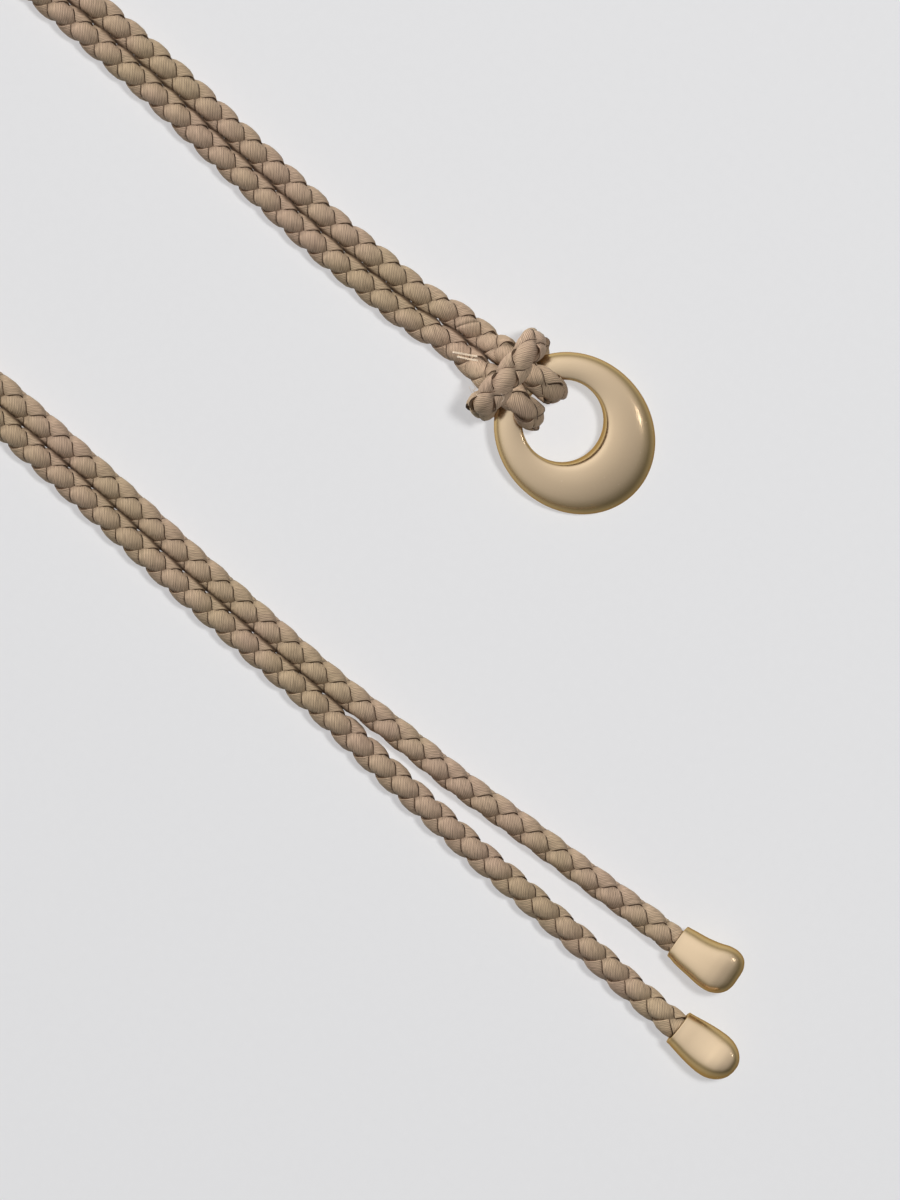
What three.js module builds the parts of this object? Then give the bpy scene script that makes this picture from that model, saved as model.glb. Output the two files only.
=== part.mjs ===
// A woven belt, lying on a table: one braided cord folded in two, its middle hitched to a crescent ring,
// and each free end in a metal cap. Millimetres, +Z up, the table is z = 0, the belt's length is along X.
import * as THREE from "three";

// The cord
const cordDiameter = 7.6;
const pairGap = 0.4; // between the two cords where they lie side by side
const cordSides = 12;
const clearance = 0.3; // between pieces that touch on the real belt

// The crescent ring
const ringLength = 44.6;
const ringWidth = 39.8;
const holeRadius = 10.8;
const barWidth = 6.86; // the thin side, where the cord is tied
const barHeight = 4.2;
const crownHeight = 7; // the thick side
const ringSegments = 56;
const ringTurn = -5; // degrees from the belt's length

// The hitch round the ring's bar
const hitchX = 168.2; // the middle of the bar
const hitchY = 10;
const hitchThickness = 5.6; // the cord is pulled flat here
const hitchWidth = 7.4;
const wrapSpacing = 9.2; // between the two turns over the bar
const legSpacing = 23; // between the two legs that rise beside the standing cords
const climbLength = 20; // from where the cord leaves the table to the middle of the bar
const levelStart = 2; // the level stretch on each side of where the cords meet their hitch
const bandBack = 3.7; // how far the crossing band lies behind the middle of the bar
const legBack = 0.6; // how far the legs lie behind the band
const legBend = 1.4; // from the legs' middle height down to where they bend under the bar
const legRise = 3; // and up to where they bend over the standing cords
const turnRise = 1.8; // from under the bar up to where the turns come down the hole
const turnBack = 0.2; // how far they are back towards the bar there

// The end caps
const capLength = 18.4;
const capMouthWidth = 8.9;
const capMouthDepth = 8.2;
const capBulbWidth = 12.2;
const capBulbDepth = 13.4;
const capSquareness = 2.6; // of the section: 2 is an oval
const capSegments = 20;
const socketDiameter = 7.2;
const socketDepth = 8;
const cordInSocket = 6;

// Colours
const clothColour = 0xb09c82;
const metalColour = 0xcdb48f;

// The section of the ring, as shares: across from the hole outward, and up from the underside.
const ringSection = [
  { across: 0.05, up: 0 },
  { across: 0.93, up: 0 },
  { across: 0.99, up: 0.06 },
  { across: 1.0, up: 0.18 },
  { across: 0.95, up: 0.44 },
  { across: 0.86, up: 0.66 },
  { across: 0.72, up: 0.84 },
  { across: 0.54, up: 0.95 },
  { across: 0.36, up: 1 },
  { across: 0.18, up: 0.96 },
  { across: 0.05, up: 0.82 },
  { across: 0, up: 0.62 },
  { across: 0, up: 0.08 },
];

// The outside of an end cap, as shares: along its length, towards its hollow and its full side of half the
// bulb's depth, and towards each flank of half the bulb's width. The mouth's row uses the mouth's own sizes.
const capSections = [
  { along: 0.05, hollow: 0.75, full: 0.67, flank: 0.8 },
  { along: 0.15, hollow: 0.785, full: 0.745, flank: 0.85 },
  { along: 0.28, hollow: 0.82, full: 0.795, flank: 0.915 },
  { along: 0.42, hollow: 0.885, full: 0.84, flank: 0.97 },
  { along: 0.54, hollow: 0.97, full: 0.885, flank: 0.995 },
  { along: 0.64, hollow: 1.06, full: 0.895, flank: 0.99 },
  { along: 0.74, hollow: 1.1, full: 0.875, flank: 0.94 },
  { along: 0.84, hollow: 1.06, full: 0.77, flank: 0.81 },
  { along: 0.92, hollow: 0.93, full: 0.6, flank: 0.62 },
  { along: 0.97, hollow: 0.72, full: 0.4, flank: 0.42 },
  { along: 0.99, hollow: 0.55, full: 0.22, flank: 0.24 },
];

// Where the pair of cords lies, as the points of the line midway between them: x, y.
const ringSideRoute = [
  [134, 8.2],
  [119, 7.8],
  [104, 7.7],
  [84, 8.6],
  [67, 9.5],
  [52, 10.4],
  [36, 10.9],
  [10, 11.2],
  [-35, 11.4],
  [-85, 11.3],
  [-140, 11.1],
  [-190, 11],
];
const turnCentre = [-235, -34.5];
const turnRadius = 45.5;
const turnSteps = 8;
const capSideRoute = [
  [-190, -79.9],
  [-140, -79.7],
  [-85, -79.6],
  [-35, -79.7],
  [10, -80],
  [50, -80.4],
  [80, -80.8],
  [105, -81.5],
  [130, -82.6],
  [155, -83.2],
  [180, -83.6],
];
// Each cord's own points where the two part, and the mouth of its cap: x, y. The cap rests on its bulb, on a
// flank or near its full side as it is rolled, with its tip a little lifted. Its angles are in degrees.
const ends = [
  {
    name: "1",
    side: -1,
    route: [
      [205, -79.3],
      [221, -79],
      [237, -77.8],
      [252, -76.8],
      [266, -76],
      [279, -75.1],
    ],
    mouth: [292, -74.4],
    heading: 4.8,
    roll: 0,
    lift: 8,
  },
  {
    name: "2",
    side: 1,
    route: [
      [205, -88.6],
      [221, -89.4],
      [237, -90],
      [252, -90.2],
      [268, -90.4],
      [281, -90.8],
      [294, -91.1],
    ],
    mouth: [306.2, -91.1],
    heading: 1.8,
    roll: 78,
    lift: 0,
  },
];

const cordRadius = cordDiameter / 2;
const pairOffset = (cordDiameter + pairGap) / 2;
const up = new THREE.Vector3(0, 0, 1);

const cloth = () =>
  new THREE.MeshStandardMaterial({ color: clothColour, roughness: 0.75, metalness: 0 });
const metal = () =>
  new THREE.MeshStandardMaterial({ color: metalColour, roughness: 0.32, metalness: 1 });

function piece(name, geometry, material) {
  const mesh = new THREE.Mesh(geometry, material);
  mesh.name = name;
  return mesh;
}

// A cord's route. Each row has the point, the way the cord's flat side faces, its thickness that way and
// its width. The sections stand evenly between the rows, so that bends have more of them.
class CordRoute extends THREE.CatmullRomCurve3 {
  constructor(rows) {
    super(rows.map((row) => row.at));
    this.facing = new THREE.CatmullRomCurve3(rows.map((row) => row.faces));
    const sizes = rows.map((row) => new THREE.Vector3(row.thickness, row.width, 0));
    this.size = new THREE.CatmullRomCurve3(sizes, false, "catmullrom", 0);
  }
  getSpacedPoints(divisions) {
    return this.getPoints(divisions);
  }
  computeFrenetFrames(divisions) {
    const frames = { tangents: [], normals: [], binormals: [] };
    for (let i = 0; i <= divisions; i++) {
      const share = i / divisions;
      const tangent = this.getTangent(share);
      const normal = this.facing.getPoint(share).projectOnPlane(tangent).normalize();
      const binormal = new THREE.Vector3().crossVectors(tangent, normal);
      const size = this.size.getPoint(share);
      frames.tangents.push(tangent);
      frames.normals.push(normal.multiplyScalar(size.x / 2));
      frames.binormals.push(binormal.multiplyScalar(size.y / 2));
    }
    return frames;
  }
}

// The cord along a route: a many-sided section whose flats are as far apart as the cord is wide.
function cordGeometry(rows, stepsPerRow) {
  const corner = 1 / Math.cos(Math.PI / cordSides);
  const section = new THREE.Shape();
  for (let i = 0; i < cordSides; i++) {
    const angle = ((i + 0.5) / cordSides) * 2 * Math.PI;
    const method = i ? "lineTo" : "moveTo";
    section[method](corner * Math.cos(angle), corner * Math.sin(angle));
  }
  section.closePath();
  const steps = (rows.length - 1) * stepsPerRow;
  return new THREE.ExtrudeGeometry(section, { steps, extrudePath: new CordRoute(rows) });
}

function roundRow(x, y, z, diameter = cordDiameter) {
  return { at: new THREE.Vector3(x, y, z), faces: up, thickness: diameter, width: diameter };
}

// The ring in its own frame: the hole's centre at the origin, the underside at z = 0, the thick side at +X.
const crownWidth = ringLength - 2 * holeRadius - barWidth;
const ringCentre = ringLength / 2 - holeRadius - barWidth;

function ringWidthAt(angle) {
  const a = ringLength / 2;
  const b = ringWidth / 2;
  const cos = Math.cos(angle);
  const sin = Math.sin(angle);
  const p = (cos / a) ** 2 + (sin / b) ** 2;
  const q = (ringCentre * cos) / a ** 2;
  const s = (ringCentre / a) ** 2 - 1;
  return (q + Math.sqrt(q * q - p * s)) / p - holeRadius;
}

function ringGeometry() {
  const outline = ringSection.map((row) => new THREE.Vector2(1 + row.across, row.up));
  outline.push(outline[0].clone());
  const geometry = new THREE.LatheGeometry(outline, ringSegments);
  geometry.rotateX(Math.PI / 2);
  const place = geometry.getAttribute("position");
  for (let i = 0; i < place.count; i++) {
    const angle = Math.atan2(place.getY(i), place.getX(i));
    const across = Math.hypot(place.getX(i), place.getY(i)) - 1;
    const width = ringWidthAt(angle);
    const share = (width - barWidth) / (crownWidth - barWidth);
    const height = barHeight + (crownHeight - barHeight) * share;
    const radius = holeRadius + across * width;
    place.setXYZ(i, radius * Math.cos(angle), radius * Math.sin(angle), place.getZ(i) * height);
  }
  return geometry;
}

// The ring lies with its thick side on the table and its bar on the legs of the hitch.
const ringTilt = Math.asin((hitchThickness + 4 * clearance) / (2 * holeRadius + crownWidth));
const barFromHole = holeRadius + barWidth / 2;

function laidRing() {
  const mesh = piece("ring", ringGeometry(), metal());
  mesh.rotation.set(0, ringTilt, THREE.MathUtils.degToRad(ringTurn), "ZYX");
  mesh.position.set(hitchX + barFromHole * Math.cos(ringTilt), hitchY, 0);
  const box = new THREE.Box3().setFromObject(mesh, true);
  mesh.position.z = -box.min.z;
  return mesh;
}

const ring = laidRing();
const barUnderside = ring.position.z + barFromHole * Math.sin(ringTilt);
const barTop = barUnderside + barHeight;

// One half of the hitch, from the standing cord over the bar, down the hole, back under the bar, and up
// beside the standing cords to the middle of the band: along, across, height, and the way it faces.
function halfHitch() {
  const half = hitchThickness / 2;
  const over = barTop + clearance + half;
  const wrap = wrapSpacing / 2;
  const squeezedOffset = (hitchWidth + pairGap) / 2;
  const leg = legSpacing / 2;
  // In the hole the two turns lie side by side against the rounded edge of the bar.
  const besideInHole = (hitchWidth + pairGap) / 2 + 0.2;
  const fromHoleCentre = holeRadius - clearance - half - 0.5;
  const inHole = barFromHole - Math.sqrt(fromHoleCentre ** 2 - besideInHole ** 2);
  const toCentre = besideInHole / fromHoleCentre;
  const middle = (over + half) / 2;
  const band = over + hitchThickness - 0.4;
  return [
    [-climbLength, pairOffset, cordRadius, [0, 0, 1]],
    [-climbLength + levelStart, pairOffset, cordRadius + 0.1, [0, 0, 1]],
    [-climbLength * 0.68, pairOffset, cordRadius + 1.1, [-0.3, 0, 1]],
    [-climbLength * 0.42, squeezedOffset, over - 5.6, [-0.6, 0, 0.8]],
    [-bandBack - 0.6, (squeezedOffset + wrap) / 2, over - 2.4, [-0.45, 0, 0.9]],
    [-barWidth * 0.1, wrap - 0.2, over - 0.1, [-0.1, 0, 1]],
    [barWidth * 0.55, wrap, over + 0.1, [0.25, 0, 1]],
    [inHole - 0.7, besideInHole + 0.3, over - 2.3, [0.8, -0.2, 0.6]],
    [inHole, besideInHole, middle, [1, -toCentre, 0]],
    [inHole - turnBack, besideInHole, half + turnRise, [0.8, -0.2, -0.6]],
    [barWidth * 0.62, wrap + 0.4, half + 0.25, [0.2, 0, -1]],
    [0, leg * 0.62, half + 0.2, [0, 0.1, -1]],
    [-bandBack + 0.6, leg * 0.85, half + 0.9, [-0.2, 0.6, -0.8]],
    [-bandBack - legBack, leg, middle - legBend, [-0.1, 1, -0.2]],
    [-bandBack - legBack, leg, middle + legRise, [0, 1, 0.3]],
    [-bandBack - 0.4, leg * 0.88, band - 2.4, [0, 0.75, 0.65]],
    [-bandBack - 0.2, leg * 0.5, band - 0.2, [0, 0.2, 1]],
    [-bandBack, 0, band, [0, 0, 1]],
  ];
}

function hitchRows() {
  const half = halfHitch();
  const place = ([along, across, height, faces], index, side) => {
    const squeezed = THREE.MathUtils.clamp((index - 1) / 2, 0, 1);
    return {
      at: new THREE.Vector3(hitchX + along, hitchY + side * across, height),
      faces: new THREE.Vector3(faces[0], side * faces[1], faces[2]),
      thickness: cordDiameter + (hitchThickness - cordDiameter) * squeezed,
      width: cordDiameter + (hitchWidth - cordDiameter) * squeezed,
    };
  };
  const one = half.map((row, index) => place(row, index, 1));
  const other = half.slice(0, -1).map((row, index) => place(row, index, -1));
  return [...one, ...other.reverse()];
}

// An end cap in its own frame: the middle of the mouth at the origin, +X towards the tip, +Y the hollow side.
function capGeometry() {
  const mouth = {
    along: 0,
    hollow: capMouthDepth / capBulbDepth,
    full: capMouthDepth / capBulbDepth,
    flank: capMouthWidth / capBulbWidth,
  };
  const outside = [mouth, ...capSections];
  const socket = socketDiameter / 2;
  const profile = [new THREE.Vector2(0, socketDepth), new THREE.Vector2(socket, socketDepth)];
  profile.push(new THREE.Vector2(socket, 0));
  outside.forEach((row) => profile.push(new THREE.Vector2(1, row.along * capLength)));
  profile.push(new THREE.Vector2(0, capLength));
  const geometry = new THREE.LatheGeometry(profile, capSegments);
  const place = geometry.getAttribute("position");
  for (let i = 0; i < place.count; i++) {
    const row = outside[(i % profile.length) - 3];
    const cos = Math.sin((Math.floor(i / profile.length) / capSegments) * 2 * Math.PI);
    const sin = Math.cos((Math.floor(i / profile.length) / capSegments) * 2 * Math.PI);
    if (row) {
      const square = (share) => Math.sign(share) * Math.abs(share) ** (2 / capSquareness);
      const depth = ((cos > 0 ? row.hollow : row.full) * capBulbDepth) / 2;
      const width = (row.flank * capBulbWidth) / 2;
      place.setXYZ(i, depth * square(cos), place.getY(i), width * square(sin));
    }
  }
  // The lathe's axis is Y: turn it to X, with the depth along Y and the width along Z.
  const turn = new THREE.Matrix4().makeBasis(
    new THREE.Vector3(0, 1, 0),
    new THREE.Vector3(1, 0, 0),
    new THREE.Vector3(0, 0, -1),
  );
  return geometry.applyMatrix4(turn);
}

function laidCap(end) {
  const mesh = piece("end_cap_" + end.name, capGeometry(), metal());
  const [roll, lift, heading] = [end.roll, -end.lift, end.heading].map(THREE.MathUtils.degToRad);
  mesh.rotation.set(roll, lift, heading, "ZYX");
  mesh.position.set(end.mouth[0], end.mouth[1], 0);
  const box = new THREE.Box3().setFromObject(mesh, true);
  mesh.position.z = -box.min.z;
  mesh.updateMatrixWorld();
  return mesh;
}

function turnPoints() {
  const points = [];
  for (let i = 0; i <= turnSteps; i++) {
    const angle = Math.PI / 2 + (i / turnSteps) * Math.PI;
    points.push([
      turnCentre[0] + turnRadius * Math.cos(angle),
      turnCentre[1] + turnRadius * Math.sin(angle),
    ]);
  }
  return points;
}

// The line midway between the cords, moved sideways by half their spacing.
function besideThePair(points, offset) {
  return points.map((point, i) => {
    const before = points[Math.max(i - 1, 0)];
    const after = points[Math.min(i + 1, points.length - 1)];
    const way = new THREE.Vector2(after[0] - before[0], after[1] - before[1]).normalize();
    return roundRow(point[0] + offset * way.y, point[1] - offset * way.x, cordRadius);
  });
}

function runRows(end, cap) {
  const start = hitchX - climbLength - clearance;
  const fromHitch = [[start, hitchY], [start - levelStart, hitchY]];
  const shared = [...fromHitch, ...ringSideRoute, ...turnPoints(), ...capSideRoute];
  const rows = besideThePair(shared, end.side * pairOffset);
  end.route.forEach(([x, y]) => rows.push(roundRow(x, y, cordRadius)));
  const socketCord = socketDiameter - 2 * clearance;
  const alongCap = (distance) => cap.localToWorld(new THREE.Vector3(distance, 0, 0));
  [
    [-1.2, cordDiameter],
    [-clearance, socketCord],
    [cordInSocket, socketCord],
  ].forEach(([distance, diameter]) => {
    const point = alongCap(distance);
    rows.push(roundRow(point.x, point.y, point.z, diameter));
  });
  return rows;
}

const belt = new THREE.Group();
belt.add(ring);
belt.add(piece("cord_hitch", cordGeometry(hitchRows(), 2), cloth()));
for (const end of ends) {
  const cap = laidCap(end);
  belt.add(cap);
  belt.add(piece("cord_run_" + end.name, cordGeometry(runRows(end, cap), 1), cloth()));
}

// The origin is on the table, under the middle of the whole belt.
const middle = new THREE.Box3().setFromObject(belt, true).getCenter(new THREE.Vector3());
belt.position.set(-middle.x, -middle.y, 0);

export default belt;
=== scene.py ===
import math

import bpy
import numpy as np
from mathutils import Matrix, Vector
from mathutils.bvhtree import BVHTree
from mathutils.kdtree import KDTree


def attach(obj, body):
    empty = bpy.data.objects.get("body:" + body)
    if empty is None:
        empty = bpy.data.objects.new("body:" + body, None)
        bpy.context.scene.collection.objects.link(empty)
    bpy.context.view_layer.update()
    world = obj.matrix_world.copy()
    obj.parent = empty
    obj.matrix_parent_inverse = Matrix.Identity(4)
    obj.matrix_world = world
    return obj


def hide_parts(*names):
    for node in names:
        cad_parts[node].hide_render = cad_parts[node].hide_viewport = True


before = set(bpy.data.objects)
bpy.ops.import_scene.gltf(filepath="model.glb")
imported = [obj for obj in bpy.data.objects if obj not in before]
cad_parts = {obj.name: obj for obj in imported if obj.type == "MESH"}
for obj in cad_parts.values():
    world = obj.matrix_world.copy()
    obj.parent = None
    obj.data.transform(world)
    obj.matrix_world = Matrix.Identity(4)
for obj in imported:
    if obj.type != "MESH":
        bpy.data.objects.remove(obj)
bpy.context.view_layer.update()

# Sizes are in millimetres in the part's own layout, whose origin is moved to the belt's middle at the end.
MM = 0.001
LAYOUT_TO_BELT = np.array([-18.15, 33.75, 0.0])

# The camera looks straight down, turned 40 degrees, as the photograph does.
PIXEL = 0.26  # millimetres to a pixel of the photograph
PHOTO = (900, 1200)
PHOTO_TURN = 40.0
PHOTO_MIDDLE = (171.75, -10.55)  # in the belt's own frame
CAMERA_HEIGHT = 1600.0
SENSOR = 36.0

scene = bpy.context.scene
camera_data = bpy.data.cameras.new("camera")
camera = bpy.data.objects.new("camera", camera_data)
scene.collection.objects.link(camera)
scene.camera = camera
camera_data.sensor_fit = "AUTO"
camera_data.sensor_width = SENSOR
camera_data.lens = SENSOR * CAMERA_HEIGHT / (PHOTO[1] * PIXEL)
camera_data.clip_start = 0.05
camera_data.clip_end = 20.0
camera.location = (PHOTO_MIDDLE[0] * MM, PHOTO_MIDDLE[1] * MM, CAMERA_HEIGHT * MM)
camera.rotation_euler = (0.0, 0.0, math.radians(PHOTO_TURN))

# The cord, as in the part's source
CORD = 7.6
PAIR_GAP = 0.4
CLEARANCE = 0.3
LIE = 4.17  # the braid's middle above the table, so that its strands rest on it

RING_LENGTH = 44.6
RING_WIDTH = 39.8
HOLE_RADIUS = 10.8
BAR_WIDTH = 6.86
BAR_HEIGHT = 4.2
CROWN_HEIGHT = 7.0
RING_TURN = -5.0

HITCH_X = 168.2
HITCH_Y = 10.0
HITCH_THICKNESS = 5.6
HITCH_WIDTH = 7.4
LEG_PRESS = 0.8
HOLE_PRESS = 1.3
WRAP_PRESS = 0.7  # the soft turns are this much nearer to the middle than their solids, and touch
HITCH_SWELL = 0.25  # the soft braid stands this much proud of its solid here, on each side
WRAP_SPACING = 9.2
LEG_SPACING = 23.0
CLIMB = 20.0
LEVEL_START = 2.0
BAND_BACK = 3.7
LEG_BACK = 0.6
LEG_BEND = 1.4
LEG_RISE = 3.0
TURN_RISE = 1.8
TURN_BACK = 0.2

CAP_LENGTH = 18.4
CAP_BULB_WIDTH = 12.2
CAP_BULB_DEPTH = 13.4
CAP_SQUARENESS = 2.6
SOCKET = 7.2
SOCKET_DEPTH = 8.0
CORD_IN_SOCKET = 6.0

RING_SIDE = [
    (134, 8.2), (119, 7.8), (104, 7.7), (84, 8.6), (67, 9.5), (52, 10.4), (36, 10.9), (10, 11.2),
    (-35, 11.4), (-85, 11.3), (-140, 11.1), (-190, 11),
]
TURN_CENTRE = (-235, -34.5)
TURN_RADIUS = 45.5
TURN_STEPS = 8
CAP_SIDE = [
    (-190, -79.9), (-140, -79.7), (-85, -79.6), (-35, -79.7), (10, -80), (50, -80.4), (80, -80.8),
    (105, -81.5), (130, -82.6), (155, -83.2), (180, -83.6),
]
ENDS = {
    1: {
        "side": -1,
        "route": [(205, -79.3), (221, -79), (237, -77.8), (252, -76.8), (266, -76), (279, -75.1)],
        "mouth": (292, -74.4),
        "heading": 4.8,
        "roll": 0.0,
        "lift": 8.0,
    },
    2: {
        "side": 1,
        "route": [
            (205, -88.6), (221, -89.4), (237, -90), (252, -90.2), (268, -90.4), (281, -90.8), (294, -91.1),
        ],
        "mouth": (306.2, -91.1),
        "heading": 1.8,
        "roll": 78.0,
        "lift": 0.0,
    },
}
UP = (0.0, 0.0, 1.0)
PAIR_OFFSET = 3.36  # the soft braids press on each other, a little closer than their solids


def to_belt(points):
    """Points of the layout, in millimetres, as metres in the belt's frame."""
    return (np.asarray(points, float) + LAYOUT_TO_BELT) * MM


def move(x=0.0, y=0.0, z=0.0):
    return Matrix.Translation((x, y, z))


def turn(degrees, axis):
    return Matrix.Rotation(math.radians(degrees), 4, axis)


# Ring, laid with its thick side on the table and its bar on the legs of the hitch
CROWN_WIDTH = RING_LENGTH - 2 * HOLE_RADIUS - BAR_WIDTH
RING_CENTRE = RING_LENGTH / 2 - HOLE_RADIUS - BAR_WIDTH
RING_TILT = math.asin((HITCH_THICKNESS + 4 * CLEARANCE) / (2 * HOLE_RADIUS + CROWN_WIDTH))
BAR_FROM_HOLE = HOLE_RADIUS + BAR_WIDTH / 2


def ring_width(angle):
    """From the hole's edge to the outer edge, along a ray from the hole's centre."""
    a, b = RING_LENGTH / 2, RING_WIDTH / 2
    cos, sin = np.cos(angle), np.sin(angle)
    p = (cos / a) ** 2 + (sin / b) ** 2
    q = RING_CENTRE * cos / a**2
    s = (RING_CENTRE / a) ** 2 - 1
    return (q + np.sqrt(q * q - p * s)) / p - HOLE_RADIUS


# Its section, as shares: across from the hole outward, and up from the underside
RING_SECTION = [
    (0.03, 0.0), (0.5, 0.0), (0.95, 0.0), (0.99, 0.05), (1.0, 0.17), (0.985, 0.3), (0.95, 0.45),
    (0.9, 0.58), (0.83, 0.7), (0.72, 0.83), (0.6, 0.92), (0.46, 0.98), (0.34, 1.0), (0.22, 0.985),
    (0.12, 0.94), (0.05, 0.85), (0.012, 0.72), (0.0, 0.56), (0.0, 0.3), (0.0, 0.07),
]


def mesh_object(name, vertices, faces, material, smooth=True):
    mesh = bpy.data.meshes.new(name)
    mesh.from_pydata([tuple(v) for v in vertices], [], [tuple(f) for f in faces])
    mesh.update()
    mesh.validate()
    if smooth:
        mesh.polygons.foreach_set("use_smooth", [True] * len(mesh.polygons))
    mesh.materials.append(material)
    thing = bpy.data.objects.new(name, mesh)
    scene.collection.objects.link(thing)
    return thing


def grid_faces(rows, columns, closed_rows=False, start=0):
    """Quads between rows of points, each row a closed loop."""
    faces = []
    for i in range(rows if closed_rows else rows - 1):
        for j in range(columns):
            a = start + i * columns + j
            b = start + i * columns + (j + 1) % columns
            c = start + ((i + 1) % rows) * columns + (j + 1) % columns
            d = start + ((i + 1) % rows) * columns + j
            faces.append((a, b, c, d))
    return faces


def spline(points, steps, closed=False):
    """A centripetal Catmull-Rom curve through the points, evenly stepped between each two."""
    points = np.asarray(points, float)
    if closed:
        line = np.vstack([points[-1], points, points[:2]])
    else:
        line = np.vstack([2 * points[0] - points[1], points, 2 * points[-1] - points[-2]])
    out = []
    u = np.arange(steps)[:, None] / steps
    for p0, p1, p2, p3 in zip(line, line[1:], line[2:], line[3:]):
        gaps = [np.linalg.norm(b - a) ** 0.5 for a, b in ((p0, p1), (p1, p2), (p2, p3))]
        middle = gaps[1] if gaps[1] > 1e-4 else 1.0
        first = gaps[0] if gaps[0] > 1e-4 else middle
        last = gaps[2] if gaps[2] > 1e-4 else middle
        m1 = ((p1 - p0) / first - (p2 - p0) / (first + middle) + (p2 - p1) / middle) * middle
        m2 = ((p2 - p1) / middle - (p3 - p1) / (middle + last) + (p3 - p2) / last) * middle
        out.append(
            p1 + m1 * u + (3 * (p2 - p1) - 2 * m1 - m2) * u**2 + (2 * (p1 - p2) + m1 + m2) * u**3
        )
    if not closed:
        out.append(points[-1][None])
    return np.vstack(out)


def ring_matrix():
    flat = turn(RING_TURN, "Z") @ Matrix.Rotation(RING_TILT, 4, "Y")
    corners = ring_points(flat, 96)
    place = (HITCH_X + BAR_FROM_HOLE * math.cos(RING_TILT), HITCH_Y, -corners[:, 2].min())
    return move(*place) @ flat


def ring_points(matrix, segments, smooth=1):
    section = spline(RING_SECTION, smooth, closed=True)
    angles = np.arange(segments) / segments * 2 * math.pi
    width = ring_width(angles)
    height = BAR_HEIGHT + (CROWN_HEIGHT - BAR_HEIGHT) * (width - BAR_WIDTH) / (CROWN_WIDTH - BAR_WIDTH)
    radius = HOLE_RADIUS + section[None, :, 0] * width[:, None]
    x, y = radius * np.cos(angles)[:, None], radius * np.sin(angles)[:, None]
    z = section[None, :, 1] * height[:, None]
    return transformed(matrix, np.stack([x, y, z], axis=-1).reshape(-1, 3))


def transformed(matrix, points):
    m = np.array(matrix)
    return points @ m[:3, :3].T + m[:3, 3]


RING = ring_matrix()
BAR_UNDERSIDE = RING.translation.z + BAR_FROM_HOLE * math.sin(RING_TILT)
BAR_TOP = BAR_UNDERSIDE + BAR_HEIGHT

# The outside of a cap, as shares: along, towards its hollow and its full side, and towards each flank
CAP_SECTIONS = [
    (0.0, 0.68, 0.62, 0.74), (0.004, 0.72, 0.645, 0.775), (0.012, 0.74, 0.66, 0.79), (0.05, 0.75, 0.67, 0.8),
    (0.15, 0.785, 0.745, 0.85), (0.28, 0.82, 0.795, 0.915), (0.42, 0.885, 0.84, 0.97),
    (0.54, 0.97, 0.885, 0.995), (0.64, 1.06, 0.895, 0.99), (0.74, 1.1, 0.875, 0.94), (0.84, 1.06, 0.77, 0.81),
    (0.92, 0.93, 0.6, 0.62), (0.97, 0.72, 0.4, 0.42), (0.99, 0.55, 0.22, 0.24),
]
# The inside of its socket, from the back to the mouth: along, and its radius
SOCKET_SECTIONS = [
    (SOCKET_DEPTH, 0.5), (SOCKET_DEPTH, SOCKET / 2 - 0.3), (SOCKET_DEPTH - 0.3, SOCKET / 2),
    (0.4, SOCKET / 2), (0.08, SOCKET / 2 + 0.1),
]


def cap_points(segments, smooth):
    """Loops of the cap's outside, from the mouth to the tip."""
    rows = spline(CAP_SECTIONS + [(1.0, 0.0, 0.0, 0.0)], smooth)[:-1]
    angles = np.arange(segments) / segments * 2 * math.pi
    cos, sin = np.cos(angles), np.sin(angles)
    depth = np.where(cos > 0, rows[:, 1:2], rows[:, 2:3]) * CAP_BULB_DEPTH / 2
    width = rows[:, 3:4] * CAP_BULB_WIDTH / 2
    cos, sin = (np.sign(share) * np.abs(share) ** (2 / CAP_SQUARENESS) for share in (cos, sin))
    along = np.repeat(rows[:, :1] * CAP_LENGTH, segments, axis=1)
    return np.stack([along, depth * cos, width * sin], axis=-1)


def cap_matrix(end):
    lifted = Matrix.Rotation(math.radians(-end["lift"]), 4, "Y")
    flat = turn(end["heading"], "Z") @ lifted @ turn(end["roll"], "X")
    low = transformed(flat, cap_points(60, 4).reshape(-1, 3))[:, 2].min()
    return move(*end["mouth"], -low) @ flat


CAPS = {number: cap_matrix(end) for number, end in ENDS.items()}


# Routes of the cord. A row is a point, the way the cord faces, its thickness that way and its width.
def round_row(x, y, z=LIE, size=CORD):
    return ((x, y, z), UP, size, size)


def turn_points():
    x, y = TURN_CENTRE
    angles = [math.pi / 2 + i / TURN_STEPS * math.pi for i in range(TURN_STEPS + 1)]
    return [(x + TURN_RADIUS * math.cos(a), y + TURN_RADIUS * math.sin(a)) for a in angles]


def beside_the_pair(points, offset):
    rows = []
    for i, (x, y) in enumerate(points):
        before, after = points[max(i - 1, 0)], points[min(i + 1, len(points) - 1)]
        way = Vector((after[0] - before[0], after[1] - before[1])).normalized()
        rows.append(round_row(x + offset * way.y, y - offset * way.x))
    return rows


def run_rows(number):
    """From the hitch to inside the cap's socket."""
    end = ENDS[number]
    start = HITCH_X - CLIMB - CLEARANCE
    shared = [(start, HITCH_Y), (start - LEVEL_START, HITCH_Y), *RING_SIDE, *turn_points(), *CAP_SIDE]
    rows = beside_the_pair(shared, end["side"] * PAIR_OFFSET)
    rows += [round_row(x, y) for x, y in end["route"]]
    in_socket = SOCKET - 2 * CLEARANCE
    for along, size in ((-1.2, CORD), (-CLEARANCE, in_socket), (CORD_IN_SOCKET, in_socket)):
        rows.append(round_row(*(CAPS[number] @ Vector((along, 0, 0))), size))
    return rows


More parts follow.
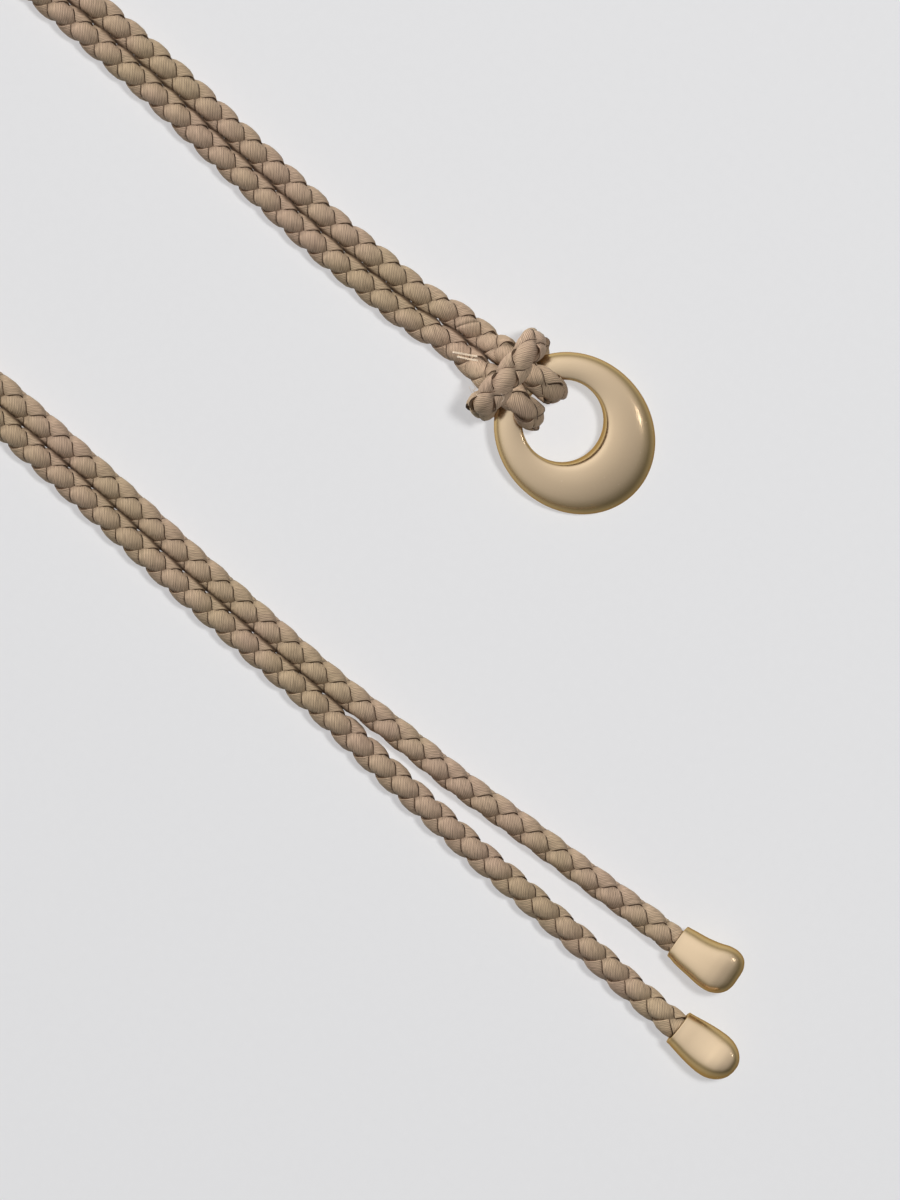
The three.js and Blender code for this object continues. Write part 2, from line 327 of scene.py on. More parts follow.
def half_hitch(side):
    """From the standing cord over the bar, down the hole, back under the bar, and up to the band's middle."""
    half = HITCH_THICKNESS / 2 + HITCH_SWELL
    over = BAR_TOP + CLEARANCE + half
    wrap = WRAP_SPACING / 2 - WRAP_PRESS
    squeezed = (HITCH_WIDTH + PAIR_GAP) / 2
    leg = LEG_SPACING / 2 - LEG_PRESS
    beside = squeezed + 0.2
    from_hole = HOLE_RADIUS - CLEARANCE - half - 0.5
    in_hole = BAR_FROM_HOLE - math.sqrt(from_hole**2 - beside**2) - HOLE_PRESS
    to_centre = beside / from_hole
    middle = (over + half) / 2
    band = over + HITCH_THICKNESS - 0.4
    rows = [
        (-CLIMB, PAIR_OFFSET, LIE, (0, 0, 1)),
        (-CLIMB + LEVEL_START, PAIR_OFFSET, LIE + 0.1, (0, 0, 1)),
        (-CLIMB * 0.68, PAIR_OFFSET, LIE + 0.9, (-0.3, 0, 1)),
        (-CLIMB * 0.42, squeezed, over - 5.6, (-0.6, 0, 0.8)),
        (-BAND_BACK - 0.6, (squeezed + wrap) / 2, over - 2.4, (-0.45, 0, 0.9)),
        (-BAR_WIDTH * 0.1, wrap - 0.2, over - 0.1, (-0.1, 0, 1)),
        (BAR_WIDTH * 0.5, wrap, over + 0.1, (0.25, 0, 1)),
        (in_hole - 0.7, beside + 0.3, over - 2.3, (0.8, -0.2, 0.6)),
        (in_hole, beside, middle, (1, -to_centre, 0)),
        (in_hole - TURN_BACK, beside, half + TURN_RISE, (0.8, -0.2, -0.6)),
        (BAR_WIDTH * 0.62, wrap + 0.4, half + 0.25, (0.2, 0, -1)),
        (0, leg * 0.62, half + 0.2, (0, 0.1, -1)),
        (-BAND_BACK + 0.6, leg * 0.85, half + 0.9, (-0.2, 0.6, -0.8)),
        (-BAND_BACK - LEG_BACK, leg, middle - LEG_BEND, (-0.1, 1, -0.2)),
        (-BAND_BACK - LEG_BACK, leg, middle + LEG_RISE, (0, 1, 0.3)),
        (-BAND_BACK - 0.4, leg * 0.88, band - 2.4, (0, 0.75, 0.65)),
        (-BAND_BACK - 0.2, leg * 0.5, band - 0.2, (0, 0.2, 1)),
        (-BAND_BACK, 0, band, (0, 0, 1)),
    ]
    out = []
    for index, (along, across, height, faces) in enumerate(rows):
        share = min(max((index - 1) / 2, 0), 1)
        out.append(
            (
                (HITCH_X + along, HITCH_Y + side * across, height),
                (faces[0], side * faces[1], faces[2]),
                CORD + (HITCH_THICKNESS - CORD) * share,
                CORD + (HITCH_WIDTH + 2 * HITCH_SWELL - CORD) * share,
            )
        )
    return out


STEP = 0.72  # between the sections of a strand
ROW_STEPS = 40
CONTACT_REACH = 9.0  # lengths of cord nearer than this touch, and a painted shade darkens them where they do
# over this many millimetres from where two lengths meet, their painted shade fades out
CONTACT_SHADE = 0.7
AT_EASE = 0.9  # how far the route and the way that it faces are smoothed
FACING_EASE = 1.8


class Route:
    """The whole cord from cap 1 through the hitch to cap 2, evenly sampled."""

    def __init__(self):
        first = run_rows(1)[::-1]
        hitch = half_hitch(-1) + half_hitch(1)[:-1][::-1]
        second = run_rows(2)
        rows = first + hitch + second
        line = spline([row[0] for row in rows], ROW_STEPS)
        faces = spline([row[1] for row in rows], ROW_STEPS)
        sizes = np.array([row[2:] for row in rows])
        u = (np.arange(ROW_STEPS) / ROW_STEPS)[:, None]
        ease = 3 * u**2 - 2 * u**3
        sizes = np.vstack([a + (b - a) * ease for a, b in zip(sizes, sizes[1:])] + [sizes[-1:]])
        length = np.concatenate([[0], np.cumsum(np.linalg.norm(np.diff(line, axis=0), axis=1))])
        count = int(round(length[-1] / STEP))
        self.s = np.linspace(0, length[-1], count + 1)

        def even(values):
            return np.stack([np.interp(self.s, length, column) for column in values.T], axis=1)

        self.at = even(line)
        self.row_s = length[::ROW_STEPS]
        self.first_rows, self.hitch_rows = len(first), len(hitch)
        self.at = eased(self.at, AT_EASE)
        self.tangent = unit(np.gradient(self.at, axis=0))
        self.bend = np.gradient(self.tangent, axis=0) / np.gradient(self.s)[:, None]
        facing = eased(even(faces), FACING_EASE)
        facing -= self.tangent * (facing * self.tangent).sum(1, keepdims=True)
        self.up = unit(facing)
        self.side = np.cross(self.tangent, self.up)
        self.size = even(sizes)
        self.contact = contacts(self)


def contacts(route):
    """For each sample of the route, the vector to the nearest other length of cord, or one far too long."""
    tree = KDTree(len(route.at))
    for index, place in enumerate(route.at):
        tree.insert(place, index)
    tree.balance()
    out = np.tile((0.0, 0.0, 1000.0), (len(route.at), 1))
    for index, place in enumerate(route.at):
        found = [
            (distance, other)
            for _, other, distance in tree.find_range(place, CONTACT_REACH)
            if abs(route.s[other] - route.s[index]) > 2 * CONTACT_REACH
        ]
        if found:
            out[index] = route.at[min(found)[1]] - place
    return out


def eased(values, reach):
    """Values along the route, smoothed over about this many millimetres each way."""
    count = int(round(3 * reach / STEP))
    weights = np.exp(-0.5 * (np.arange(-count, count + 1) * STEP / reach) ** 2)
    padded = np.concatenate([np.repeat(values[:1], count, 0), values, np.repeat(values[-1:], count, 0)])
    smooth = [np.convolve(column, weights / weights.sum(), "valid") for column in padded.T]
    smooth = np.stack(smooth, axis=1)
    smooth[: 3 * count], smooth[-3 * count :] = values[: 3 * count], values[-3 * count :]
    return smooth


def unit(vectors):
    return vectors / np.linalg.norm(vectors, axis=-1, keepdims=True)


# The braid: two strands of each hand, each passing over one and under one on an oval path
PITCH = 16.0
OVER = 3.0  # from the cord's middle to a strand's, where it passes over another
UNDER = 1.3  # and where it passes under
PINCH = 0.1  # how much wider a strand is where it is over, and narrower where it is under
LINGER = 0.2  # how much slower a strand goes round where it is over
LEAN = 0.12  # how far it leans into its way round, in radians
STRAND_HALF_WIDTH = 3.15
STRAND_OUTWARD = 1.15
STRAND_INWARD = 0.55
STRAND_CURL = 0.95
STRAND_FULLNESS = 2.3  # of its section: 2 is a plain lens
CORE = 2.5  # its radius
CORE_SIDES = 12
CORE_STEP = 3  # samples of the route to a row of the core
BEND_LIMIT = 0.6  # the share of a bend's radius from which the strands inside it are pressed together
BEND_HOLD = 0.85  # how much of the rest they are held back
PRESS_START = 3.2  # from the cord's middle to the side, where strands begin to be pressed in
PRESS_SHARE = 0.7  # the share that is left of what stands out beyond that
WEAVE_SHIFT = 7.3  # so that the strands' weaves differ


# The section of a strand, a flat lens: shares of its half width, along its outward and its inward side
OUTWARD_SIDE = (0.985, 0.86, 0.62, 0.24, -0.24, -0.62, -0.86, -0.985)
INWARD_SIDE = (-0.8, -0.4, 0.0, 0.4, 0.8)
STRAND_EDGE = 0.1  # its thickness at the edge, each way
CREASE_SHADE = 0.4  # the width of the painted shade in the crease along each edge


def strand_section():
    """Across, outward, and the place round the section from the middle of its outward side."""
    out = np.array(OUTWARD_SIDE)
    inward = np.array(INWARD_SIDE)
    across = np.concatenate([out, inward])
    height = np.concatenate(
        [
            STRAND_EDGE + (STRAND_OUTWARD - STRAND_EDGE) * (1 - np.abs(out) ** STRAND_FULLNESS),
            -STRAND_EDGE - (STRAND_INWARD - STRAND_EDGE) * (1 - np.abs(inward) ** STRAND_FULLNESS),
        ]
    )
    across, height = across * STRAND_HALF_WIDTH, height - STRAND_CURL * across**2
    steps = np.hypot(np.diff(across, append=across[0]), np.diff(height, append=height[0]))
    round_it = np.concatenate([[0], np.cumsum(steps)])
    edge = round_it[len(out) - 1] / 2
    place = (round_it[:-1] - edge + round_it[-1] / 2) % round_it[-1] - round_it[-1] / 2
    return across, height, place, edge


def bent(route, along, across, height):
    """Points given along, across and above a straight cord, bent along the route, and how much painted shade
    they take where they touch another length.
    """

    def there(values):
        return np.stack([np.interp(along, route.s, column) for column in values.T], axis=-1)

    offsets = there(route.side) * across[..., None] + there(route.up) * height[..., None]
    bend = there(route.bend)
    # Held back where they would pass the middle of a bend
    towards = (offsets * bend).sum(-1, keepdims=True)
    excess = np.maximum(towards - BEND_LIMIT, 0) * BEND_HOLD
    offsets -= bend * excess / np.maximum((bend**2).sum(-1, keepdims=True), 1e-12)
    contact = there(route.contact)
    far = np.linalg.norm(contact, axis=-1)
    inset = far / 2 - (offsets * contact).sum(-1) / far
    return there(route.at) + offsets, np.clip(1 - inset / CONTACT_SHADE, 0, 1)


def braid_mesh(name, route, first, last, roll, phase, material):
    """The four strands between two samples of the route, as one mesh with closed ends."""
    span = slice(max(first - 1, 0), last + 2)
    s = route.s[span]
    wide = route.size[span, 1] / CORD
    thick = route.size[span, 0] / CORD
    cut = slice(first - max(first - 1, 0), first - max(first - 1, 0) + last - first + 1)
    across, height, section_place, edge = strand_section()
    sides = len(across)
    c, r = np.cos(roll[span]), np.sin(roll[span])
    vertices, faces, places = [], [], []
    for strand in range(4):
        hand = 1 if strand < 2 else -1
        angle = hand * 2 * math.pi * (s + phase[span]) / PITCH + (strand % 2) * math.pi
        dive = angle if hand > 0 else angle + math.pi / 2
        over = np.cos(2 * dive)
        over = over * (1.5 - 0.5 * over**2)  # it stays longer over and under than between
        radius = (OVER + UNDER) / 2 + (OVER - UNDER) / 2 * over
        about = angle - LINGER * np.sin(2 * dive)
        faces_to = about + LEAN * np.sin(2 * dive)
        x, y = radius * np.cos(about), radius * np.sin(about)
        nx, ny = np.cos(faces_to), np.sin(faces_to)
        x, y = (x * c - y * r) * wide, (x * r + y * c) * thick
        nx, ny = nx * c - ny * r, nx * r + ny * c
        centre = np.stack([s, x, y], axis=1)
        tangent = unit(np.gradient(centre, axis=0))
        normal = np.stack([np.zeros(len(s)), nx, ny], axis=1)
        normal = unit(normal - tangent * (normal * tangent).sum(1, keepdims=True))
        width_way = np.cross(tangent, normal)
        flat = (np.abs(nx) * wide + np.abs(ny) * thick) / (np.abs(nx) + np.abs(ny))
        loops = (
            centre[:, None, :]
            + width_way[:, None, :] * (across[None, :] * (1 + PINCH * over[:, None]))[:, :, None]
            + normal[:, None, :] * (height[None, :] * flat[:, None])[:, :, None]
        )[cut]
        # The outermost turns are pressed in, which evens the braid's outline
        sideways = loops[..., 1] / wide[cut, None]
        reach = np.abs(sideways)
        pressed = np.minimum(reach, PRESS_START + (reach - PRESS_START) * PRESS_SHARE)
        loops[..., 1] = np.sign(sideways) * pressed * wide[cut, None]
        start = len(vertices)
        points, touch_shade = bent(route, loops[..., 0], loops[..., 1], loops[..., 2])
        vertices.extend(to_belt(points.reshape(-1, 3)))
        rows = len(loops)
        faces += grid_faces(rows, sides, start=start)
        faces.append(tuple(start + j for j in range(sides))[::-1])
        faces.append(tuple(start + (rows - 1) * sides + j for j in range(sides)))
        # how far over each strand is, which sets the painted shade where it dives under another
        places.append((s[cut] + strand * WEAVE_SHIFT, section_place, over[cut], touch_shade))
    # The core that the strands go round
    angles = (np.arange(CORE_SIDES) + 0.5) / CORE_SIDES * 2 * math.pi
    core = slice(cut.start, cut.stop, CORE_STEP)
    loops, touch_shade = bent(
        route,
        np.repeat(s[core, None], CORE_SIDES, axis=1),
        CORE * wide[core, None] * np.cos(angles)[None, :],
        CORE * thick[core, None] * np.sin(angles)[None, :],
    )
    start = len(vertices)
    vertices.extend(to_belt(loops.reshape(-1, 3)))
    faces += grid_faces(len(loops), CORE_SIDES, start=start)
    faces.append(tuple(start + j for j in range(CORE_SIDES))[::-1])
    faces.append(tuple(start + (len(loops) - 1) * CORE_SIDES + j for j in range(CORE_SIDES)))
    # the core takes the lowest value, so it gets the darkest painted shade
    places.append((s[core], np.zeros(CORE_SIDES), np.full(len(s[core]), -1.0), touch_shade))
    thing = mesh_object(name, vertices, faces, material)
    index = np.empty(len(thing.data.loops), np.int32)
    thing.data.loops.foreach_get("vertex_index", index)
    along = np.concatenate([np.repeat(row, len(around)) for row, around, _, _ in places])
    round_it = np.concatenate([np.tile(around, len(row)) for row, around, _, _ in places])
    depth = np.concatenate([np.repeat(over, len(around)) for _, around, over, _ in places])
    touch_shades = np.concatenate([touch_shade.ravel() for _, _, _, touch_shade in places])
    # the 'depth' layer carries the masks of the painted shade: how far over a strand is, and where it touches
    for layer, pair in (("weave", (along, round_it)), ("depth", (depth, touch_shades))):
        uvs = np.stack(pair, axis=1)[index].astype(np.float32)
        thing.data.uv_layers.new(name=layer).data.foreach_set("uv", uvs.ravel())
    return thing


# Materials
class Nodes:
    """The node tree of a new material or world, with short ways to add to it."""

    def __init__(self, owner, shader="Principled BSDF"):
        owner.use_nodes = True
        self.owner = owner
        self.tree = owner.node_tree
        self.shader = self.tree.nodes[shader]

    def add(self, kind, **settings):
        node = self.tree.nodes.new(kind)
        for key, value in settings.items():
            setattr(node, key, value)
        return node

    def link(self, source, target):
        self.tree.links.new(source, target)

    def put(self, node, **values):
        for key, value in values.items():
            target = node.inputs[key.replace("_", " ")]
            if hasattr(value, "is_output"):
                self.link(value, target)
            else:
                target.default_value = value
        return node

    def maths(self, operation, a, b=0.0):
        node = self.add("ShaderNodeMath", operation=operation)
        for value, target in zip((a, b), node.inputs):
            if hasattr(value, "is_output"):
                self.link(value, target)
            else:
                target.default_value = value
        return node.outputs[0]

    def mix(self, factor, a, b, blend="MIX"):
        node = self.add("ShaderNodeMix", data_type="RGBA", blend_type=blend)
        for value, target in zip((factor, a, b), (node.inputs[0], node.inputs[6], node.inputs[7])):
            if hasattr(value, "is_output"):
                self.link(value, target)
            else:
                target.default_value = value
        return node.outputs[2]


def srgb(red, green, blue):
    def linear(value):
        value /= 255
        return value / 12.92 if value <= 0.04045 else ((value + 0.055) / 1.055) ** 2.4

    return (linear(red), linear(green), linear(blue), 1.0)


RIB_SPACING = 0.42  # of the tape's weave, across it
PICK_SPACING = 0.4  # and along it


def cloth_material():
    n = Nodes(bpy.data.materials.new("woven_tape"))
    uv = n.add("ShaderNodeUVMap", uv_map="weave")
    split = n.add("ShaderNodeSeparateXYZ")
    n.link(uv.outputs[0], split.inputs[0])
    along, across = split.outputs[0], split.outputs[1]
    rib = n.maths("SINE", n.maths("MULTIPLY", across, 2 * math.pi / RIB_SPACING))
    pick = n.maths("SINE", n.maths("MULTIPLY", along, 2 * math.pi / PICK_SPACING))
    coordinates = n.add("ShaderNodeTexCoord")
    stretched = n.add("ShaderNodeCombineXYZ")
    n.link(n.maths("MULTIPLY", along, 0.5), stretched.inputs[0])
    n.link(n.maths("MULTIPLY", across, 3.2), stretched.inputs[1])
    threads = n.add("ShaderNodeTexNoise")
    n.put(threads, Vector=stretched.outputs[0], Scale=1.0, Detail=3.0, Roughness=0.65)
    patches = n.add("ShaderNodeTexNoise")
    n.put(patches, Vector=coordinates.outputs["Object"], Scale=120.0, Detail=1.5, Roughness=0.5)
    hue = n.add("ShaderNodeTexNoise")
    n.put(hue, Vector=coordinates.outputs["Object"], Scale=60.0, Detail=0.5, Roughness=0.5)
    crossings = n.maths("MULTIPLY", n.maths("MULTIPLY", rib, pick), 0.12)
    height = n.maths("ADD", n.maths("MULTIPLY", rib, 0.22), crossings)
    height = n.maths("ADD", height, threads.outputs["Fac"])
    base = n.mix(patches.outputs["Fac"], srgb(181, 155, 130), srgb(202, 176, 149))
    ramp = n.add("ShaderNodeMapRange")
    n.put(ramp, Value=hue.outputs["Fac"], From_Min=0.35, From_Max=0.65)
    tint = n.mix(ramp.outputs[0], srgb(196, 166, 145), srgb(190, 168, 132))
    base = n.mix(0.45, base, tint)
    lines = n.maths("ADD", n.maths("MULTIPLY", height, 1.15), 0.24)
    depth_map = n.add("ShaderNodeUVMap", uv_map="depth")
    depth = n.add("ShaderNodeSeparateXYZ")
    n.link(depth_map.outputs[0], depth.inputs[0])
    # Painted shade: the cloth is darkened where a strand dives under another, down to 0.7 on the core
    dive_shade = n.add("ShaderNodeMapRange", interpolation_type="SMOOTHSTEP")
    n.put(dive_shade, Value=depth.outputs[0], From_Min=-0.3, From_Max=0.8, To_Min=0.7, To_Max=1.0)
    from_ridge = n.maths("ABSOLUTE", across)
    edge = strand_section()[3]
    # Painted shade: past its edge, the strand's underside is darkened to half
    underside_shade = n.add("ShaderNodeMapRange")
    n.put(underside_shade, Value=from_ridge, From_Min=edge, From_Max=edge + 0.1, To_Min=1.0, To_Max=0.5)
    lines = n.maths("MULTIPLY", n.maths("MULTIPLY", lines, dive_shade.outputs[0]), underside_shade.outputs[0])
    shade = n.add("ShaderNodeCombineColor")
    for target in shade.inputs[:3]:
        n.link(lines, target)
    base = n.mix(1.0, base, shade.outputs[0], "MULTIPLY")
    # Painted shade: a dark brown line in the crease along each strand's edge, fainter on its underside,
    # joined below with the painted contact shade
    crease_shade = n.add("ShaderNodeMapRange", interpolation_type="SMOOTHSTEP")
    n.put(crease_shade, Value=from_ridge, From_Min=edge - CREASE_SHADE, From_Max=edge - CREASE_SHADE / 3, To_Max=0.95)
    past = n.add("ShaderNodeMapRange")
    n.put(past, Value=from_ridge, From_Min=edge, From_Max=edge + 0.3, To_Min=1.0, To_Max=0.4)
    # Painted shade where the cord touches another length of itself
    touch_shade = n.add("ShaderNodeMapRange", interpolation_type="SMOOTHSTEP")
    n.put(touch_shade, Value=depth.outputs[1], From_Min=0.1, From_Max=0.9, To_Max=0.8)
    painted_shade = n.maths("MAXIMUM", n.maths("MULTIPLY", crease_shade.outputs[0], past.outputs[0]), touch_shade.outputs[0])
    # the painted shade's dark brown
    base = n.mix(painted_shade, base, srgb(54, 31, 13))
    bump = n.add("ShaderNodeBump")
    n.put(bump, Strength=0.5, Distance=0.00012, Height=height)
    n.put(n.shader, Base_Color=base, Roughness=0.6, Normal=bump.outputs[0])
    n.shader.inputs["Sheen Weight"].default_value = 0.05
    n.shader.inputs["Sheen Roughness"].default_value = 0.4
    n.shader.inputs["Sheen Tint"].default_value = (1.0, 0.88, 0.75, 1.0)
    n.shader.inputs["Specular IOR Level"].default_value = 0.2
    return n.owner


def metal_material():
    n = Nodes(bpy.data.materials.new("champagne_metal"))
    coordinates = n.add("ShaderNodeTexCoord")
    brushed = n.add("ShaderNodeTexNoise")
    n.put(brushed, Vector=coordinates.outputs["Object"], Scale=900.0, Detail=3.0, Roughness=0.6)
    cloudy = n.add("ShaderNodeTexNoise")
    n.put(cloudy, Vector=coordinates.outputs["Object"], Scale=55.0, Detail=2.0, Roughness=0.5)
    tone = n.mix(cloudy.outputs["Fac"], srgb(218, 193, 160), srgb(225, 201, 169))
    rough = n.add("ShaderNodeMapRange")
    n.put(rough, Value=brushed.outputs["Fac"], To_Min=0.2, To_Max=0.3)
    bump = n.add("ShaderNodeBump")
    n.put(bump, Strength=0.03, Distance=0.00004, Height=brushed.outputs["Fac"])
    n.put(n.shader, Base_Color=tone, Roughness=rough.outputs[0], Normal=bump.outputs[0])
    n.shader.inputs["Metallic"].default_value = 1.0
    n.shader.inputs["Specular Tint"].default_value = srgb(200, 176, 138)
    return n.owner


cloth = cloth_material()
metal = metal_material()

# The cord in three pieces that meet without a seam
route = Route()
total = route.s[-1]
middle = total / 2
# How far the braid is turned about the cord, in degrees, and how far it is shifted along it, by place
ROLLS = [
    (0, 27.0), (380, 27.0), (640, -10.0), (middle - 50, -10.0), (middle, 0.0), (middle + 50, 10.0),
    (total - 640, 10.0), (total - 300, -10.0), (total - 110, 0.0), (total - 50, 18.0), (total, 18.0),
]
PHASES = [
    (0, 1.0), (380, 1.0), (640, 0.2), (middle - 60, 0.2), (middle + 60, 3.5),
    (total - 600, 3.5), (total, 3.4),
]
roll = np.radians(np.interp(route.s, *zip(*ROLLS)))
phase = np.interp(route.s, *zip(*PHASES))
hitch_start = route.row_s[route.first_rows]
hitch_end = route.row_s[route.first_rows + route.hitch_rows - 1]
cuts = [0, *np.searchsorted(route.s, (hitch_start, hitch_end)), len(route.s) - 1]
names = ("braid_1", "braid_hitch", "braid_2")
braids = [
    braid_mesh(name, route, first, last, roll, phase, cloth)
    for name, first, last in zip(names, cuts, cuts[1:])
]
for braid, node in zip(braids, ("cord_run_1", "cord_hitch", "cord_run_2")):
    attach(braid, "root")
    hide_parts(node)


# Pale stitches that hold the folded cord, laid on its cloth, and a few frayed fibres at its edge
THREAD = 0.16  # the radius of one of the two strands of a stitch
THREAD_PITCH = 1.3  # of their twist
FIBRE = 0.05  # the radius of a fibre
FIBRE_LIFT = 0.25  # of its middle
# In pixels of the photograph
STITCHES = [((453, 353.5), (477, 357.8)), ((457.5, 358), (477.5, 362.2))]
FIBRES = [
    ((472, 384), (475, 388), (473, 392)), ((476, 383), (478, 387), (475, 390)),
    ((472, 390), (476, 393), (479, 391)), ((469, 387), (471, 392), (474, 396)),
    ((475, 394), (477, 398), (480, 399)), ((500, 396), (503, 401), (501, 405)),
]


def from_photo(pixels):
    """The layout's x and y under pixels of the photograph."""
    cos, sin = math.cos(math.radians(PHOTO_TURN)), math.sin(math.radians(PHOTO_TURN))
    x, y = np.asarray(pixels, float).T * PIXEL
    return np.stack([x * cos + y * sin, x * sin - y * cos], axis=1)


def laid_on_cloth(pixels, steps, sink):
    """A line through these pixels, as high as the cloth, its two ends a little lower."""
    flat = spline(from_photo(pixels), steps)
    places = to_belt(np.column_stack([flat, np.zeros(len(flat))]))
    above = 0.1  # metres, higher than the cloth
    out = []
    for x, y, _ in places:
        hits = [tree.ray_cast(Vector((x, y, above)), Vector((0, 0, -1)))[0] for tree in cloth_trees]
        out.append((x, y, max((hit.z for hit in hits if hit), default=CORD / 2 * MM)))
    out = np.array(out) / MM
    # The heights are evened over five places
    out[:, 2] = np.convolve(np.pad(out[:, 2], 2, "edge"), np.full(5, 1 / 5), "valid")
    out[[0, -1], 2] -= sink
    return out


def tube(line, radius, sides=6):
    tangent = unit(np.gradient(line, axis=0))
    across = unit(np.cross(tangent, (0.0, 0.0, 1.0)))
    up = np.cross(across, tangent)
    angles = np.arange(sides) / sides * 2 * math.pi
    loops = line[:, None] + radius * (
        across[:, None] * np.cos(angles)[None, :, None] + up[:, None] * np.sin(angles)[None, :, None]
    )
    return loops.reshape(-1, 3) * MM, grid_faces(len(line), sides)


def joined(name, tubes, material):
    vertices, faces = [], []
    for points, quads in tubes:
        faces += [tuple(index + len(vertices) for index in quad) for quad in quads]
        vertices.extend(points)
    return mesh_object(name, vertices, faces, material)


def thread_material():
    n = Nodes(bpy.data.materials.new("pale_thread"))
    coordinates = n.add("ShaderNodeTexCoord")
    specks = n.add("ShaderNodeTexNoise")
    n.put(specks, Vector=coordinates.outputs["Object"], Scale=3000.0, Detail=1.0)
    tone = n.mix(specks.outputs["Fac"], srgb(206, 186, 162), srgb(246, 233, 213))
    n.put(n.shader, Base_Color=tone, Roughness=0.7)
    return n.owner


def stitches():
    out = []
    for pixels in STITCHES:
        line = laid_on_cloth(pixels, steps=60, sink=0.5)
        line[:, 2] += THREAD * 1.5
        length = np.concatenate([[0], np.cumsum(np.linalg.norm(np.diff(line, axis=0), axis=1))])
        tangent = unit(np.gradient(line, axis=0))
        across = unit(np.cross(tangent, (0.0, 0.0, 1.0)))
        for start in (0, math.pi):
            twist = start + length / THREAD_PITCH * 2 * math.pi
            around = across * np.cos(twist)[:, None] + np.array((0.0, 0.0, 1.0)) * np.sin(twist)[:, None]
            out.append(tube(line + around * THREAD, THREAD))
    return joined("stitches", out, pale_thread)


def fibres():
    lines = []
    for pixels in FIBRES:
        line = laid_on_cloth(pixels, steps=8, sink=0.1)
        line[1:-1, 2] += FIBRE_LIFT
        lines.append(tube(line, FIBRE, sides=4))
    return joined("loose_fibres", lines, pale_thread)


pale_thread = thread_material()
cloth_trees = [
    BVHTree.FromPolygons([v.co for v in braid.data.vertices], [p.vertices for p in braid.data.polygons])
    for braid in braids
]
for threads in (stitches(), fibres()):
    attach(threads, "root")


# The ring and the caps
def make_ring():
    segments, smooth = 192, 3
    columns = len(RING_SECTION) * smooth
    points = ring_points(RING, segments, smooth)
    faces = grid_faces(segments, columns, closed_rows=True)
    return mesh_object("crescent_ring", to_belt(points), faces, metal)


def make_cap(number):
    segments, smooth = 64, 6
    outside = cap_points(segments, smooth)
    angles = np.arange(segments) / segments * 2 * math.pi
    inside = [
        np.stack([np.full(segments, along), radius * np.cos(angles), radius * np.sin(angles)], axis=-1)
        for along, radius in SOCKET_SECTIONS
    ]
    loops = np.concatenate([np.array(inside), outside])
    rows = len(loops)
    points = list(loops.reshape(-1, 3)) + [np.array((SOCKET_DEPTH, 0, 0)), np.array((CAP_LENGTH, 0, 0))]
    faces = grid_faces(rows, segments)
    back, tip = rows * segments, rows * segments + 1
    last = (rows - 1) * segments
    for j in range(segments):
        faces.append((back, (j + 1) % segments, j))
        faces.append((tip, last + j, last + (j + 1) % segments))
    points = transformed(CAPS[number], np.array(points))
    return mesh_object(f"cap_{number}", to_belt(points), faces, metal)


ring = make_ring()
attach(ring, "root")
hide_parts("ring")
caps = {}
for number in ENDS:
    caps[number] = make_cap(number)
    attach(caps[number], "root")
    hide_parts(f"end_cap_{number}")

# The path of each run, from the hitch to its cap, is worked out here; nothing is made from it
PATH_STEP = 3  # samples of the route to a point of a cord's path
for braid, number, first, last in ((braids[0], 1, cuts[0], cuts[1]), (braids[2], 2, cuts[2], cuts[3])):
    path = to_belt(route.at[first : last + 1 : PATH_STEP])
    if number == 1:
        path = path[::-1]


# The studio
def floor_material():
    n = Nodes(bpy.data.materials.new("pale_paper"))
    coordinates = n.add("ShaderNodeTexCoord")
    grain = n.add("ShaderNodeTexNoise")
    n.put(grain, Vector=coordinates.outputs["Object"], Scale=400.0, Detail=2.0)
    tone = n.mix(grain.outputs["Fac"], srgb(187, 187, 187), srgb(190, 190, 190))
    n.put(n.shader, Base_Color=tone, Roughness=0.9)
    n.shader.inputs["Emission Color"].default_value = (0.97, 0.97, 1.0, 1.0)
    n.shader.inputs["Emission Strength"].default_value = 0.325
    return n.owner


FLOOR = 4.0  # metres from its middle to each side
corners = [(FLOOR * x, FLOOR * y, 0) for x, y in ((-1, -1), (1, -1), (1, 1), (-1, 1))]
floor = mesh_object("floor", corners, [(0, 1, 2, 3)], floor_material(), smooth=False)
floor.visible_glossy = False  # the metal mirrors the darker studio below its horizon instead


def area_light(name, place, size, power, colour):
    data = bpy.data.lights.new(name, "AREA")
    data.shape = "RECTANGLE"
    data.size, data.size_y = size
    data.energy = power
    data.color = colour
    light = bpy.data.objects.new(name, data)
    light.location = place
    target = Vector((PHOTO_MIDDLE[0] * MM, PHOTO_MIDDLE[1] * MM, 0))
    light.rotation_euler = (target - Vector(place)).to_track_quat("-Z", "Y").to_euler()
    light.visible_glossy = False
    scene.collection.objects.link(light)
    return light


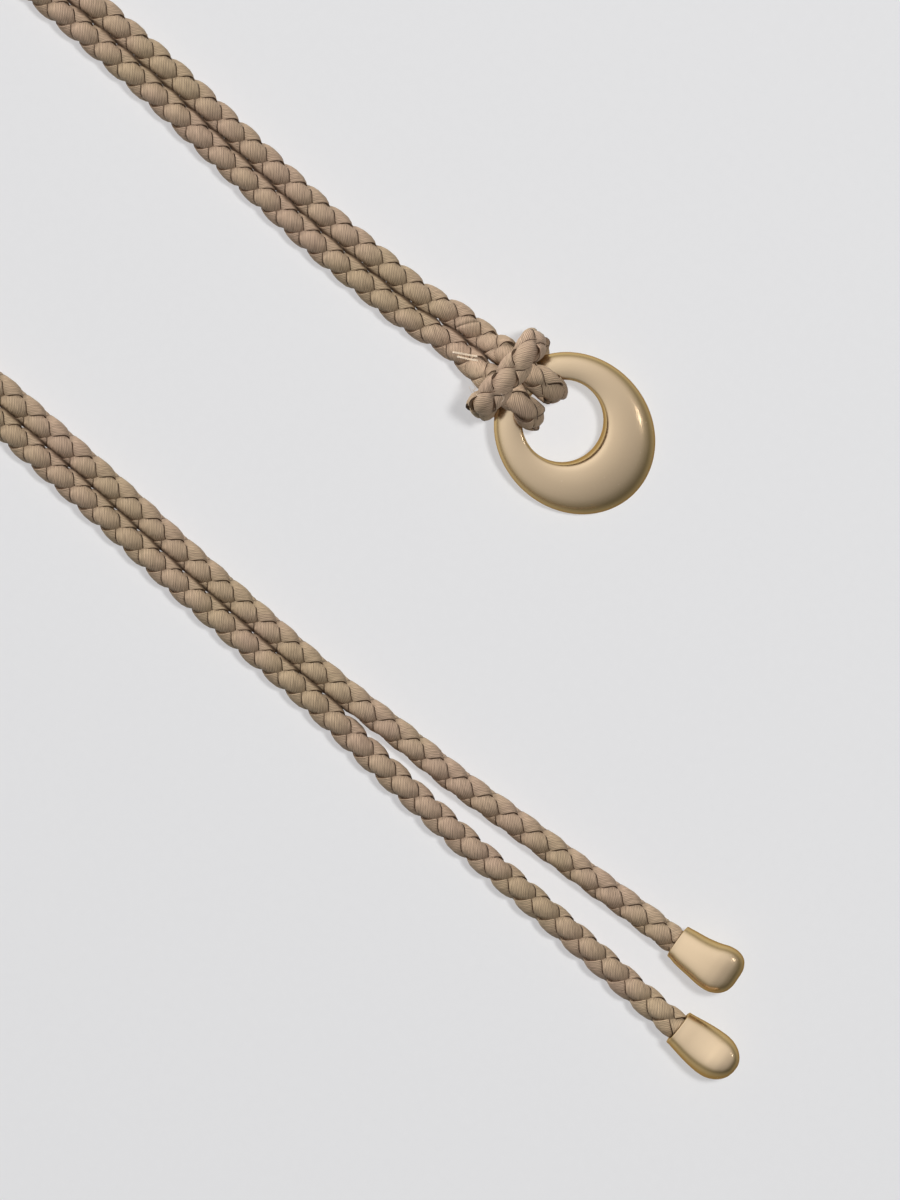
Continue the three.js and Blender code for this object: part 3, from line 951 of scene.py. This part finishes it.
# The key makes the only shadow, a short one to the left; the fill makes none
area_light("key", (0.48, 0.52, 1.9), (0.3, 0.3), 20.3, (1.0, 1.0, 1.0))
fill = area_light("fill", (-5.44, 0.77, 2.1), (1.8, 1.8), 360.0, (1.0, 1.0, 1.0))
fill.data.use_shadow = False
glint = area_light("glint", (1.26, 1.38, 0.94), (0.16, 0.1), 0.8, (1.0, 0.93, 0.9))
glint.visible_glossy = True
glint.visible_diffuse = False  # only the metal mirrors it, beside the ring's crown


# How bright and how warm the studio is by height, from straight down to straight up, and its lean to the left
SKY = (
    (-1.0, 0.6, 0.3), (-0.4, 0.56, 0.32), (-0.14, 0.38, 0.35), (0.02, 0.26, 0.32), (0.2, 0.46, 0.18),
    (0.5, 0.76, 0.02), (0.8, 0.81, 0.0), (1.0, 0.81, 0.0),
)
SKY_LEAN = (-0.6, 0.15, 0.0)
WARM_GREEN = 0.18  # the share of green that the warmest light lacks, where it has no blue


def studio_world():
    """A pale studio for the metal to mirror: bright overhead and to the left, and darker at the horizon."""
    world = bpy.data.worlds.new("studio")
    scene.world = world
    world.cycles_visibility.diffuse = False  # it lights nothing else
    n = Nodes(world, "Background")
    way = n.add("ShaderNodeTexCoord").outputs["Generated"]
    split = n.add("ShaderNodeSeparateXYZ")
    n.link(way, split.inputs[0])
    ramp = n.add("ShaderNodeValToRGB")
    n.link(n.maths("ADD", n.maths("MULTIPLY", split.outputs[2], 0.5), 0.5), ramp.inputs[0])
    elements = ramp.color_ramp.elements
    while len(elements) < len(SKY):
        elements.new(0.5)
    for element, (height, light, warmth) in zip(elements, SKY):
        element.position = (height + 1) / 2
        element.color = (light, light * (1 - WARM_GREEN * warmth), light * (1 - warmth), 1.0)
    lean = n.add("ShaderNodeVectorMath", operation="DOT_PRODUCT")
    n.link(way, lean.inputs[0])
    lean.inputs[1].default_value = SKY_LEAN
    share = n.maths("MAXIMUM", n.maths("ADD", lean.outputs["Value"], 1.0), 0.1)
    grey = n.add("ShaderNodeCombineColor")
    for target in grey.inputs[:3]:
        n.link(share, target)
    n.link(n.mix(1.0, ramp.outputs[0], grey.outputs[0], "MULTIPLY"), n.shader.inputs["Color"])


studio_world()
scene.view_settings.view_transform = "Standard"
